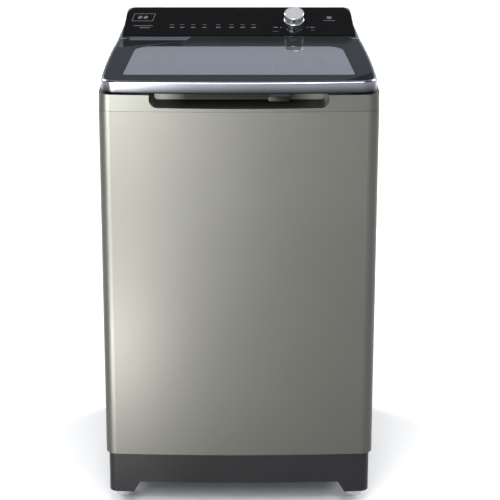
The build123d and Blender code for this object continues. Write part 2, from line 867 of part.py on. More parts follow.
drain_hose_low = drain_z + drain_radius + 25


def make_drain_hose():
    x, y = drain_place
    hose = tube(19, 16, drain_hose_low, drain_valve_low, x, y)
    for step in range(8):
        z = drain_hose_low + 22 + step * 6
        hose += tube(21, 18, z, z + 3, x, y)
    return hose


def make_drain_outlet():
    x, y = drain_place
    elbow = rod(drain_radius, drain_z, drain_hose_low + 38, x, y)
    elbow += along(drain_radius, y, spigot_end_y, x, drain_z)
    elbow += Pos(x, y, drain_z) * Sphere(drain_radius)
    elbow += along(drain_radius + 6, rear_y - sheet - 3, rear_y - sheet, x, drain_z)
    elbow -= rod(12, drain_z, big, x, y) + along(12, y, spigot_end_y + 1, x, drain_z)
    return elbow - Pos(x, y, drain_z) * Sphere(12)


# Suspension

def make_suspension_rods():
    rods = []
    for x, y, sx, sy in rod_places():
        bar = rod(rod_radius, spring_foot - 8, bracket_z + 14, x, y)
        bar += rod(15, spring_foot - 4, spring_foot, x, y)
        bar += Pos(x, y, bracket_z + 14) * Sphere(8)
        rods.append(bar)
    return Compound(children=rods)


def make_rod_seats():
    seats = []
    for x, y, sx, sy in rod_places():
        cup = rod(13, bracket_z + 2, bracket_z + 12, x, y)
        cup -= Pos(x, y, bracket_z + 14) * Sphere(8 + fit)
        seats.append(cup - rod(rod_radius + fit, bracket_z, bracket_z + 14, x, y))
    return Compound(children=seats)


def make_corner_brackets():
    brackets = []
    room = extrude(Pos(0, 0, bracket_z) * outline(sheet + seat), amount=2)
    room -= block(-big, big, rear_y - 2 * sheet - seat, big, 0, big)
    for x, y, sx, sy in rod_places():
        edge = abs(x) + abs(y - axis_y) - bracket_cut
        triangle = make_face(Polyline(
            (sx * edge, axis_y),
            (sx * edge, axis_y + sy * edge),
            (0, axis_y + sy * edge),
            close=True,
        ))
        plate = room & extrude(Pos(0, 0, bracket_z) * triangle, amount=2)
        brackets.append(plate - rod(rod_radius + 1, bracket_z - 1, bracket_z + 3, x, y))
    return Compound(children=brackets)


def make_spring_cups():
    cups = []
    for x, y, sx, sy in rod_places():
        cup = rod(20, ear_z - 30, ear_z, x, y) - rod(16.5, ear_z - 31, spring_head, x, y)
        cups.append(cup - rod(rod_radius + slide, ear_z - 31, ear_z + 1, x, y))
    return Compound(children=cups)


def make_suspension_springs():
    z0 = spring_foot + spring_wire / 2 + seat
    height = spring_head - spring_foot - spring_wire - 2 * seat
    path = Helix(pitch=height / spring_turns, height=height, radius=spring_mean_radius)
    section = Plane(origin=path @ 0, z_dir=path % 0) * Circle(spring_wire / 2)
    coil = sweep(section, path=path, is_frenet=True)
    return Compound(children=[Pos(x, y, z0) * coil for x, y, sx, sy in rod_places()])


# Basket and pulsator

def make_basket_wall():
    return tube(basket_radius, basket_radius - sheet, basket_floor, basket_top)


def make_basket_base():
    edge = basket_radius - sheet - fit
    base = rod(edge, basket_floor, basket_floor + 15)
    base -= rod(edge - 8, basket_floor + 7, basket_floor + 20)
    return base - rod(shaft_radius + 6, basket_floor - 1, basket_floor + 20)


def make_balance_ring():
    body = tube(basket_radius + 3, balance_inner, basket_top, basket_top + balance_height)
    body = fillet(body.edges().group_by(Axis.Z)[-1], 6)
    return body


def make_basket_hub():
    hub = rod(80, basket_floor - 8, basket_floor)
    return hub - rod(spin_shaft_radius + fit, basket_floor - 9, basket_floor + 1)


def make_lint_filters():
    pieces = []
    for angle in (0, 180):
        panel = tube(basket_radius - sheet - fit, basket_radius - 20, basket_floor + 81, basket_floor + 291)
        wedge = Pos(0, axis_y, 0) * Rot(Z=angle) * block(
            basket_radius - 60, basket_radius + 10, -48, 48, basket_floor + 71, basket_floor + 301,
        )
        pieces.append(panel & wedge)
    return Compound(children=pieces)


def make_spin_shaft():
    return tube(spin_shaft_radius, shaft_radius + fit, clutch_low + 40, basket_floor)


pulsator_disc = 8.0
dome_radius = 46.0
fin_count = 6


def make_pulsator():
    body = rod(pulsator_radius, pulsator_low, pulsator_low + pulsator_disc)
    body = fillet(body.edges().group_by(Axis.Z)[-1], 3)
    top = pulsator_low + pulsator_disc
    body += rod(dome_radius, top - 1, top + 14)
    body += rod(20, pulsator_low - 3, pulsator_low + 1)
    for step in range(fin_count):
        fin = block(dome_radius - 8, pulsator_radius - 14, -9, 9, top - 1, top + 20)
        fin = fillet(fin.edges().group_by(Axis.Z)[-1], 6)
        body += Pos(0, axis_y, 0) * Rot(Z=step * 360 / fin_count) * fin
    body -= rod(shaft_radius + fit, pulsator_low - 5, top + 4)
    return body - rod(14, top + 4, top + 30)


def make_pulsator_shaft():
    return rod(shaft_radius, clutch_low + 22, pulsator_low + pulsator_disc + 4)


def make_pulsator_cap():
    top = pulsator_low + pulsator_disc
    return rod(14 - fit, top + 4, top + 15)


def make_input_shaft():
    return rod(shaft_radius, pulley_low - 6, clutch_low + 16)


def make_motor_shaft():
    return rod(motor_shaft_radius, pulley_low - 6, clutch_low + 5, motor_x)


def make_motor_pulley():
    return pulley(motor_pulley_radius, motor_shaft_radius, motor_x)


nodes = {
    "base_frame": make_base_frame,
    "foot_lock_nuts": make_foot_lock_nuts,
    "cabinet_shell": make_cabinet_shell,
    "rear_panel": make_rear_panel,
    "rear_access_cover": make_rear_access_cover,
    "rear_cover_screws": make_rear_cover_screws,
    "cord_gland": make_cord_gland,
    "top_frame": make_top_frame,
    "lid_frame": make_lid_frame,
    "lid_glass": make_lid_glass,
    "lid_front_trim": make_lid_front_trim,
    "lid_accent_strip": make_lid_accent_strip,
    "lid_hook": make_lid_hook,
    "lid_bumpers": make_lid_bumpers,
    "hinge_brackets": make_hinge_brackets,
    "hinge_pins": make_hinge_pins,
    "lid_lock_housing": make_lid_lock_housing,
    "lock_bolt": make_lock_bolt,
    "console_housing": make_console_housing,
    "console_fascia": make_console_fascia,
    "control_board": make_control_board,
    "dial_encoder": make_dial_encoder,
    "dial_knob": make_dial_knob,
    "dial_cap": make_dial_cap,
    "dispenser_housing": make_dispenser_housing,
    "detergent_drawer": make_detergent_drawer,
    "inlet_valve": make_inlet_valve,
    "inlet_hose": make_inlet_hose,
    "outer_tub": make_outer_tub,
    "tub_ring": make_tub_ring,
    "mounting_plate": make_mounting_plate,
    "clutch_housing": make_clutch_housing,
    "main_bearings": make_main_bearings,
    "motor": make_motor,
    "drive_belt": make_drive_belt,
    "drain_valve": make_drain_valve,
    "drain_hose": make_drain_hose,
    "drain_outlet": make_drain_outlet,
    "suspension_rods": make_suspension_rods,
    "rod_seats": make_rod_seats,
    "corner_brackets": make_corner_brackets,
    "spring_cups": make_spring_cups,
    "suspension_springs": make_suspension_springs,
    "basket_wall": make_basket_wall,
    "basket_base": make_basket_base,
    "balance_ring": make_balance_ring,
    "basket_hub": make_basket_hub,
    "lint_filters": make_lint_filters,
    "spin_shaft": make_spin_shaft,
    "pulsator": make_pulsator,
    "pulsator_shaft": make_pulsator_shaft,
    "pulsator_cap": make_pulsator_cap,
    "drive_pulley": make_drive_pulley,
    "input_shaft": make_input_shaft,
    "motor_pulley": make_motor_pulley,
    "motor_shaft": make_motor_shaft,
}

os.makedirs("parts", exist_ok=True)
for name, make in nodes.items():
    export_step(make(), f"parts/{name}.step")
for place, (x, y) in foot_places().items():
    export_step(make_foot(x, y), f"parts/foot_{place}.step")
print("overall", width, overall_depth, round(console_top_z, 1))
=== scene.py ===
import bpy
import json
import math
from mathutils import Matrix, Vector


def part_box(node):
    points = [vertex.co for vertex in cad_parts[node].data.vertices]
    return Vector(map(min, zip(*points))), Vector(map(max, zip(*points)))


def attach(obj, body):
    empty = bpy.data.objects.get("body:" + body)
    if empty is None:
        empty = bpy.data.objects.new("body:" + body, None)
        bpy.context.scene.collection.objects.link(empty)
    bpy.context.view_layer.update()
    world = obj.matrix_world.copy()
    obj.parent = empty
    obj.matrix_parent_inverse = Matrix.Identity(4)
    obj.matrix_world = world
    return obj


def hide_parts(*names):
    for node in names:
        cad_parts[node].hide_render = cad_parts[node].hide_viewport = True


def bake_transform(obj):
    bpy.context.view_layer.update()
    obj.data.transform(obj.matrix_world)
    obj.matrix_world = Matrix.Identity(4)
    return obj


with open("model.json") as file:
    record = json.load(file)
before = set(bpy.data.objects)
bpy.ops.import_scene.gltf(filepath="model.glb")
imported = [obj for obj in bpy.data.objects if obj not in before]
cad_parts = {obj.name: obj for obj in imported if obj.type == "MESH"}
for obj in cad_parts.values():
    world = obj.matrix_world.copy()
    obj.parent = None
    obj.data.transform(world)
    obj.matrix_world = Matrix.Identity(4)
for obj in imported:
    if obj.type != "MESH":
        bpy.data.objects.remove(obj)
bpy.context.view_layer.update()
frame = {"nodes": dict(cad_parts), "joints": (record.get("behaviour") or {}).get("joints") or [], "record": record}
nodes = frame["nodes"]


# small helpers

def report(stage):
    print("washer:", stage)


def deselectAll():
    for thing in bpy.context.selected_objects:
        thing.select_set(False)


def makeActive(piece):
    deselectAll()
    piece.select_set(True)
    bpy.context.view_layer.objects.active = piece
    return piece


def newPiece(name):
    piece = bpy.context.active_object
    piece.name = name
    piece.data.name = name
    return piece


def enterEdit(piece, mode="FACE"):
    makeActive(piece)
    bpy.ops.object.mode_set(mode="EDIT")
    bpy.ops.mesh.select_mode(type=mode)


def leaveEdit():
    bpy.ops.object.mode_set(mode="OBJECT")


def pickFaces(piece, test):
    mesh = piece.data
    for group in (mesh.vertices, mesh.edges):
        for item in group:
            item.select = False
    for face in mesh.polygons:
        face.select = bool(test(face.center, face.normal))
    enterEdit(piece, "FACE")


def pickEdges(piece, test):
    mesh = piece.data
    for group in (mesh.vertices, mesh.polygons):
        for item in group:
            item.select = False
    for edge in mesh.edges:
        ends = [mesh.vertices[i].co for i in edge.vertices]
        edge.select = bool(test(*ends))
    enterEdit(piece, "EDGE")


def settle(piece):
    makeActive(piece)
    bpy.ops.object.transform_apply(location=True, rotation=True, scale=True)
    return piece


def addModifier(piece, kind, **settings):
    makeActive(piece)
    modifier = piece.modifiers.new(kind.title(), kind)
    for key, value in settings.items():
        setattr(modifier, key, value)
    bpy.ops.object.modifier_apply(modifier=modifier.name)
    return piece


def smooth(piece, degrees=35):
    makeActive(piece)
    bpy.ops.object.shade_smooth_by_angle(angle=math.radians(degrees))
    return piece


def outwards(piece):
    enterEdit(piece)
    bpy.ops.mesh.select_all(action="SELECT")
    bpy.ops.mesh.remove_doubles(threshold=1e-5)
    bpy.ops.mesh.normals_make_consistent(inside=False)
    leaveEdit()
    return piece


def copyNode(node, name):
    makeActive(nodes[node])
    bpy.ops.object.duplicate()
    piece = newPiece(name)
    piece.parent = None
    for key in list(piece.keys()):
        del piece[key]
    enterEdit(piece)
    bpy.ops.mesh.select_all(action="SELECT")
    bpy.ops.mesh.remove_doubles(threshold=2e-6)
    leaveEdit()
    return piece


def discard(*pieces):
    for piece in pieces:
        bpy.data.objects.remove(piece)


def join(pieces, name):
    deselectAll()
    for piece in pieces:
        piece.select_set(True)
    bpy.context.view_layer.objects.active = pieces[0]
    bpy.ops.object.join()
    return newPiece(name)


def turned(name, profile, segments=64):
    # rings of (radius, height) up the Z axis, closed where a radius is zero
    firstRadius, firstHeight = profile[0]
    deselectAll()
    bpy.ops.mesh.primitive_circle_add(vertices=segments, radius=max(firstRadius, 1e-4), location=(0, 0, 0))
    piece = newPiece(name)
    enterEdit(piece, "VERT")
    bpy.ops.mesh.select_all(action="SELECT")
    bpy.ops.transform.translate(value=(0, 0, firstHeight))
    radius, height = max(firstRadius, 1e-4), firstHeight
    for nextRadius, nextHeight in profile[1:]:
        target = max(nextRadius, 1e-4)
        bpy.ops.mesh.extrude_region_move(TRANSFORM_OT_translate={"value": (0, 0, nextHeight - height)})
        ratio = target / radius
        bpy.ops.transform.resize(value=(ratio, ratio, 1), center_override=(0, 0, nextHeight))
        radius, height = target, nextHeight
    leaveEdit()
    return outwards(piece)


def placeOn(piece, matrix):
    piece.matrix_world = matrix
    return settle(piece)


def finishPiece(piece, body, slot, material, *replaced):
    piece.data.materials.clear()
    piece.data.materials.append(material)
    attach(piece, body)
    if replaced:
        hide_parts(*replaced)
    return piece


# shader groups

def newGroup(name, inputs, outputs):
    tree = bpy.data.node_groups.new(name, "ShaderNodeTree")
    for label, kind, value in inputs:
        socket = tree.interface.new_socket(label, in_out="INPUT", socket_type="NodeSocket" + kind)
        socket.default_value = value
    for label, kind in outputs:
        tree.interface.new_socket(label, in_out="OUTPUT", socket_type="NodeSocket" + kind)
    return tree, tree.nodes.new("NodeGroupInput"), tree.nodes.new("NodeGroupOutput")


def mathNode(tree, operation, first, second):
    node = tree.nodes.new("ShaderNodeMath")
    node.operation = operation
    for socket, value in zip(node.inputs, (first, second)):
        if isinstance(value, (int, float)):
            socket.default_value = value
        else:
            tree.links.new(value, socket)
    return node.outputs[0]


def noiseNode(tree, vector, scale, detail=2.0):
    node = tree.nodes.new("ShaderNodeTexNoise")
    node.inputs["Detail"].default_value = detail
    tree.links.new(vector, node.inputs["Vector"])
    if isinstance(scale, (int, float)):
        node.inputs["Scale"].default_value = scale
    else:
        tree.links.new(scale, node.inputs["Scale"])
    return node.outputs["Fac"]


def rangeNode(tree, value, low, high, toLow, toHigh):
    node = tree.nodes.new("ShaderNodeMapRange")
    tree.links.new(value, node.inputs["Value"])
    limits = zip(("From Min", "From Max", "To Min", "To Max"), (low, high, toLow, toHigh))
    for label, limit in limits:
        if isinstance(limit, (int, float)):
            node.inputs[label].default_value = limit
        else:
            tree.links.new(limit, node.inputs[label])
    return node.outputs["Result"]


def mixColors(tree, factor, first, second):
    node = tree.nodes.new("ShaderNodeMix")
    node.data_type = "RGBA"
    tree.links.new(factor, node.inputs[0])
    for socket, value in ((node.inputs[6], first), (node.inputs[7], second)):
        if isinstance(value, tuple):
            socket.default_value = (*value, 1.0)
        else:
            tree.links.new(value, socket)
    return node.outputs[2]


def objectPlace(tree):
    return tree.nodes.new("ShaderNodeTexCoord").outputs["Object"]


def makeGrainGroup():
    # fine grain: a tone for the colour, a spread for the gloss and a height for the bump
    tree, start, end = newGroup(
        "surfaceGrain",
        [("Color", "Color", (0.5, 0.5, 0.5, 1)), ("Shade", "Color", (0.4, 0.4, 0.4, 1)),
         ("Grain Size", "Float", 900.0), ("Cloud Size", "Float", 6.0),
         ("Roughness", "Float", 0.4), ("Spread", "Float", 0.05)],
        [("Color", "Color"), ("Roughness", "Float"), ("Height", "Float")],
    )
    place = objectPlace(tree)
    grain = noiseNode(tree, place, start.outputs["Grain Size"], 3.0)
    cloud = noiseNode(tree, place, start.outputs["Cloud Size"], 4.0)
    fine, broad = mathNode(tree, "MULTIPLY", grain, 0.6), mathNode(tree, "MULTIPLY", cloud, 0.4)
    both = mathNode(tree, "ADD", fine, broad)
    mask = rangeNode(tree, both, 0.35, 0.65, 0.0, 1.0)
    color = mixColors(tree, mask, start.outputs["Shade"], start.outputs["Color"])
    low = mathNode(tree, "SUBTRACT", start.outputs["Roughness"], start.outputs["Spread"])
    high = mathNode(tree, "ADD", start.outputs["Roughness"], start.outputs["Spread"])
    tree.links.new(color, end.inputs["Color"])
    tree.links.new(rangeNode(tree, cloud, 0.3, 0.7, low, high), end.inputs["Roughness"])
    tree.links.new(grain, end.inputs["Height"])
    return tree


def makeBrushGroup():
    # long fine scratches along the direction that Stretch squeezes least
    tree, start, end = newGroup(
        "brushedLines",
        [("Color", "Color", (0.6, 0.6, 0.6, 1)), ("Shade", "Color", (0.5, 0.5, 0.5, 1)),
         ("Stretch", "Vector", (900.0, 900.0, 12.0)),
         ("Roughness", "Float", 0.3), ("Spread", "Float", 0.06)],
        [("Color", "Color"), ("Roughness", "Float"), ("Height", "Float")],
    )
    scaled = tree.nodes.new("ShaderNodeVectorMath")
    scaled.operation = "MULTIPLY"
    tree.links.new(objectPlace(tree), scaled.inputs[0])
    tree.links.new(start.outputs["Stretch"], scaled.inputs[1])
    lines = noiseNode(tree, scaled.outputs[0], 1.0, 3.0)
    low = mathNode(tree, "SUBTRACT", start.outputs["Roughness"], start.outputs["Spread"])
    high = mathNode(tree, "ADD", start.outputs["Roughness"], start.outputs["Spread"])
    mask = rangeNode(tree, lines, 0.3, 0.7, 0.0, 1.0)
    tree.links.new(mixColors(tree, mask, start.outputs["Shade"], start.outputs["Color"]), end.inputs["Color"])
    tree.links.new(rangeNode(tree, lines, 0.3, 0.7, low, high), end.inputs["Roughness"])
    tree.links.new(lines, end.inputs["Height"])
    return tree


def makeDustGroup():
    # a light film that settles on faces that look up
    tree, start, end = newGroup(
        "settledDust",
        [("Color", "Color", (0.5, 0.5, 0.5, 1)), ("Dust", "Color", (0.45, 0.43, 0.4, 1)),
         ("Amount", "Float", 0.2)],
        [("Color", "Color")],
    )
    normal = tree.nodes.new("ShaderNodeNewGeometry").outputs["Normal"]
    split = tree.nodes.new("ShaderNodeSeparateXYZ")
    tree.links.new(normal, split.inputs[0])
    upward = rangeNode(tree, split.outputs["Z"], 0.3, 1.0, 0.0, 1.0)
    patches = rangeNode(tree, noiseNode(tree, objectPlace(tree), 14.0, 5.0), 0.35, 0.65, 0.3, 1.0)
    film = mathNode(tree, "MULTIPLY", mathNode(tree, "MULTIPLY", upward, patches), start.outputs["Amount"])
    tree.links.new(mixColors(tree, film, start.outputs["Color"], start.outputs["Dust"]), end.inputs["Color"])
    return tree


def makeFadeGroup():
    # a mask that runs from nothing to full between two places along a direction
    tree, start, end = newGroup(
        "fadeAlong",
        [("Direction", "Vector", (0.0, 0.0, 1.0)), ("Start", "Float", 0.0), ("End", "Float", 1.0)],
        [("Mask", "Float")],
    )
    along = tree.nodes.new("ShaderNodeVectorMath")
    along.operation = "DOT_PRODUCT"
    tree.links.new(objectPlace(tree), along.inputs[0])
    tree.links.new(start.outputs["Direction"], along.inputs[1])
    mask = rangeNode(tree, along.outputs["Value"], start.outputs["Start"], start.outputs["End"], 0.0, 1.0)
    tree.links.new(mask, end.inputs["Mask"])
    return tree


fadeGroup = makeFadeGroup()
grainGroup = makeGrainGroup()
brushGroup = makeBrushGroup()
dustGroup = makeDustGroup()


def startMaterial(name):
    material = bpy.data.materials.new(name)
    material.use_nodes = True
    tree = material.node_tree
    return material, tree, tree.nodes["Principled BSDF"]


def setGroup(node, values):
    for label, value in values.items():
        if label in ("Color", "Shade", "Dust"):
            value = (*value, 1.0)
        node.inputs[label].default_value = value


def bumpFrom(tree, shader, height, strength, distance):
    bump = tree.nodes.new("ShaderNodeBump")
    bump.inputs["Strength"].default_value = strength
    bump.inputs["Distance"].default_value = distance
    tree.links.new(height, bump.inputs["Height"])
    tree.links.new(bump.outputs["Normal"], shader.inputs["Normal"])


def fadeMask(tree, paintedShadeFades):
    mask = None
    for direction, begin, finish in paintedShadeFades:
        fade = tree.nodes.new("ShaderNodeGroup")
        fade.node_tree = fadeGroup
        fade.inputs["Direction"].default_value = direction
        fade.inputs["Start"].default_value = begin
        fade.inputs["End"].default_value = finish
        one = fade.outputs["Mask"]
        mask = one if mask is None else mathNode(tree, "MULTIPLY", mask, one)
    return mask


def makeSurface(name, look):
    # one finish: a group gives its colour, gloss and height, the shader keeps the plain numbers
    material, tree, shader = startMaterial(name)
    group = tree.nodes.new("ShaderNodeGroup")
    group.node_tree = brushGroup if "stretch" in look else grainGroup
    values = {label: look[label.lower()] for label in ("Color", "Shade", "Roughness", "Spread")}
    if "stretch" in look:
        values["Stretch"] = look["stretch"]
    else:
        values["Grain Size"] = look["grain"]
        values["Cloud Size"] = look.get("cloud", 6.0)
    setGroup(group, values)
    color = group.outputs["Color"]
    if look.get("dust"):
        film = tree.nodes.new("ShaderNodeGroup")
        film.node_tree = dustGroup
        setGroup(film, {"Amount": look["dust"]})
        tree.links.new(color, film.inputs["Color"])
        color = film.outputs["Color"]
    # painted shade: a look with a darkening mask mixes its colour toward a dark colour; the cabinet's lower part,
    # the apron's hand recess and the trim's lower edge are darkened this way
    if look.get("paintedShadeFades"):
        color = mixColors(tree, fadeMask(tree, look["paintedShadeFades"]), color, look["paintedShadeColor"])
    tree.links.new(color, shader.inputs["Base Color"])
    tree.links.new(group.outputs["Roughness"], shader.inputs["Roughness"])
    if look.get("bump"):
        bumpFrom(tree, shader, group.outputs["Height"], look["bump"], look.get("depth", 0.0002))
    for label, value in look.get("shader", {}).items():
        shader.inputs[label].default_value = value
    return material


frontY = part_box("top_frame")[0].y
trimLow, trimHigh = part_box("lid_front_trim")
surfaceLooks = {
    # painted shade: the cabinet paint is darkened toward the bottom
    "cabinetPaint": {
        "color": (0.132, 0.131, 0.117), "shade": (0.110, 0.109, 0.097), "grain": 1500.0, "cloud": 3.0,
        "roughness": 0.42, "spread": 0.012, "bump": 0.05, "shader": {"Metallic": 0.92},
        "paintedShadeColor": (0.085, 0.084, 0.075), "paintedShadeFades": [((0, 0, -1), -0.95, -0.10)],
    },
    # painted shade: the apron is darkened inside the hand recess, most in its middle and toward its top under the
    # lid
    "apronLacquer": {
        "color": (0.132, 0.131, 0.117), "shade": (0.110, 0.109, 0.097), "grain": 1500.0, "cloud": 4.0,
        "roughness": 0.38, "spread": 0.02, "bump": 0.03, "shader": {"Metallic": 0.9},
        "paintedShadeColor": (0.014, 0.014, 0.012),
        "paintedShadeFades": [((0, 1, 0), frontY + 0.001, frontY + 0.007), ((0, -1, 0), -frontY - 0.050, -frontY - 0.046),
                  ((1, 0, 0), -0.158, -0.112), ((-1, 0, 0), -0.158, -0.112), ((0, 0, 1), 0.905, 0.934)],
    },
    "consoleGloss": {
        "color": (0.0055, 0.0055, 0.006), "shade": (0.0045, 0.0045, 0.005), "grain": 500.0,
        "roughness": 0.12, "spread": 0.02, "shader": {"Specular IOR Level": 0.3},
    },
    "facePrint": {
        "color": (0.12, 0.12, 0.125), "shade": (0.09, 0.09, 0.095), "grain": 900.0,
        "roughness": 0.5, "spread": 0.04,
    },
    "lidPlastic": {
        "color": (0.018, 0.018, 0.021), "shade": (0.014, 0.014, 0.017), "grain": 600.0,
        "roughness": 0.22, "spread": 0.04, "bump": 0.03,
    },
    "borderPrint": {
        "color": (0.016, 0.018, 0.020), "shade": (0.012, 0.014, 0.016), "grain": 500.0,
        "roughness": 0.14, "spread": 0.02, "shader": {"Specular IOR Level": 0.006},
    },
    # painted shade: the trim's silver is darkened toward its lower edge
    "trimSilver": {
        "color": (0.34, 0.35, 0.38), "shade": (0.30, 0.31, 0.34), "grain": 1200.0,
        "roughness": 0.20, "spread": 0.03, "shader": {"Metallic": 1.0}, "paintedShadeColor": (0.012, 0.012, 0.015),
        "paintedShadeFades": [((0, 0, -1), -trimHigh.z + 0.0015, -trimLow.z - 0.002)],
    },
    "stripGrey": {
        "color": (0.060, 0.062, 0.075), "shade": (0.052, 0.054, 0.066), "grain": 800.0,
        "roughness": 0.3, "spread": 0.03,
    },
    "capMetal": {
        "color": (0.66, 0.66, 0.67), "shade": (0.60, 0.60, 0.61), "grain": 1500.0,
        "roughness": 0.30, "spread": 0.03, "shader": {"Metallic": 0.45},
    },
    "knobChrome": {
        "color": (0.80, 0.80, 0.82), "shade": (0.76, 0.76, 0.78), "grain": 500.0,
        "roughness": 0.20, "spread": 0.02, "shader": {"Metallic": 0.72},
    },
    "basePlastic": {
        "color": (0.010, 0.010, 0.011), "shade": (0.007, 0.007, 0.008), "grain": 1100.0,
        "roughness": 0.38, "spread": 0.04, "bump": 0.2, "depth": 0.0003, "dust": 0.01,
        "shader": {"Specular IOR Level": 0.22},
    },
    "zincSheet": {
        "color": (0.50, 0.51, 0.52), "shade": (0.40, 0.41, 0.42), "grain": 160.0, "cloud": 12.0,
        "roughness": 0.38, "spread": 0.08, "bump": 0.05, "shader": {"Metallic": 1.0},
    },
    "stainlessSheet": {
        "color": (0.62, 0.62, 0.63), "shade": (0.55, 0.55, 0.56), "stretch": (40.0, 40.0, 900.0),
        "roughness": 0.27, "spread": 0.06, "bump": 0.08, "shader": {"Metallic": 0.55},
    },
    "tubPlastic": {
        "color": (0.62, 0.63, 0.64), "shade": (0.56, 0.57, 0.58), "grain": 500.0,
        "roughness": 0.45, "spread": 0.06, "bump": 0.1, "dust": 0.1,
    },
    "deckPlastic": {
        "color": (0.36, 0.37, 0.38), "shade": (0.31, 0.32, 0.33), "grain": 900.0,
        "roughness": 0.4, "spread": 0.05, "bump": 0.12, "dust": 0.05,
    },
    "agitatorPlastic": {
        "color": (0.42, 0.44, 0.47), "shade": (0.37, 0.39, 0.42), "grain": 700.0,
        "roughness": 0.35, "spread": 0.05, "bump": 0.08,
    },
    "castAlloy": {
        "color": (0.45, 0.45, 0.46), "shade": (0.34, 0.34, 0.35), "grain": 420.0,
        "roughness": 0.5, "spread": 0.08, "bump": 0.35, "depth": 0.0005, "dust": 0.2,
        "shader": {"Metallic": 0.9},
    },
    "shaftSteel": {
        "color": (0.60, 0.60, 0.61), "shade": (0.50, 0.50, 0.51), "stretch": (60.0, 60.0, 1400.0),
        "roughness": 0.25, "spread": 0.05, "bump": 0.05, "shader": {"Metallic": 1.0},
    },
    "motorPaint": {
        "color": (0.05, 0.055, 0.06), "shade": (0.035, 0.04, 0.045), "grain": 600.0,
        "roughness": 0.5, "spread": 0.08, "bump": 0.2, "dust": 0.25,
    },
    "rubberBlack": {
        "color": (0.022, 0.022, 0.023), "shade": (0.015, 0.015, 0.016), "grain": 700.0,
        "roughness": 0.6, "spread": 0.08, "bump": 0.15, "dust": 0.1,
    },
    "hoseGrey": {
        "color": (0.30, 0.31, 0.32), "shade": (0.25, 0.26, 0.27), "grain": 500.0,
        "roughness": 0.5, "spread": 0.05, "bump": 0.1, "dust": 0.15,
    },
    "boardGreen": {
        "color": (0.02, 0.14, 0.06), "shade": (0.015, 0.10, 0.045), "grain": 900.0,
        "roughness": 0.4, "spread": 0.08, "bump": 0.1,
    },
    "valveWhite": {
        "color": (0.70, 0.70, 0.69), "shade": (0.64, 0.64, 0.63), "grain": 600.0,
        "roughness": 0.4, "spread": 0.05, "bump": 0.08,
    },
    "footWhite": {
        "color": (0.72, 0.72, 0.72), "shade": (0.66, 0.66, 0.66), "grain": 700.0,
        "roughness": 0.4, "spread": 0.05, "bump": 0.08,
    },
}
surfaces = {name: makeSurface(name, look) for name, look in surfaceLooks.items()}


# painted shade: the tinted window's colour is darkened toward the hinge
windowTintAndShade = {
    "paintedShadeFades": [((0, 1, 0), -0.105, -0.015)], "rearShadeColor": (0.16, 0.18, 0.24),
    "shader": {"Transmission Weight": 1.0, "IOR": 1.52},
}


def makeWindowGlass():
    material, tree, shader = startMaterial("tintedGlass")
    group = tree.nodes.new("ShaderNodeGroup")
    group.node_tree = grainGroup
    setGroup(group, {
        "Color": (0.30, 0.33, 0.42), "Shade": (0.28, 0.31, 0.40), "Grain Size": 300.0,
        "Cloud Size": 4.0, "Roughness": 0.03, "Spread": 0.01,
    })
    # painted shade: this mask darkens the glass toward the hinge
    rear = fadeMask(tree, windowTintAndShade["paintedShadeFades"])
    color = mixColors(tree, rear, group.outputs["Color"], windowTintAndShade["rearShadeColor"])
    tree.links.new(color, shader.inputs["Base Color"])
    tree.links.new(group.outputs["Roughness"], shader.inputs["Roughness"])
    for label, value in windowTintAndShade["shader"].items():
        shader.inputs[label].default_value = value
    return material


surfaces["tintedGlass"] = makeWindowGlass()
report("finishes made")


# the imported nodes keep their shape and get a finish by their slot

slotFinish = {
    "cabinet_metallic": "cabinetPaint", "apron_metallic": "apronLacquer", "console_black": "consoleGloss",
    "lid_black": "lidPlastic", "tinted_glass": "tintedGlass", "silver_trim": "trimSilver",
    "strip_grey": "stripGrey", "knob_chrome": "knobChrome", "knob_cap": "knobChrome",
    "base_grey": "basePlastic", "foot_white": "footWhite", "zinc_steel": "zincSheet",
    "stainless": "stainlessSheet", "tub_plastic": "tubPlastic", "deck_grey": "deckPlastic",
    "agitator_grey": "agitatorPlastic", "cast_alloy": "castAlloy", "shaft_steel": "shaftSteel",
    "motor_paint": "motorPaint", "rubber_black": "rubberBlack", "hose_grey": "hoseGrey",
    "board_green": "boardGreen", "valve_white": "valveWhite",
}
nodeFinish = {"hinge_brackets": "lidPlastic", "hinge_pins": "shaftSteel"}
for part in frame["record"]["subparts"]:
    finish = nodeFinish.get(part["node"], slotFinish[part["material_slot"]])
    node = nodes[part["node"]]
    node.data.materials.clear()
    node.data.materials.append(surfaces[finish])
report("nodes finished")


# lid glass: a clear pane inside a printed border

lidGlass = {
    "side": 0.038, "front": 0.052, "rear": 0.085, "taper": 0.018, "frontCorner": 0.008, "rearCorner": 0.034,
    "cutHeight": 0.1, "creaseAngle": 25,
}


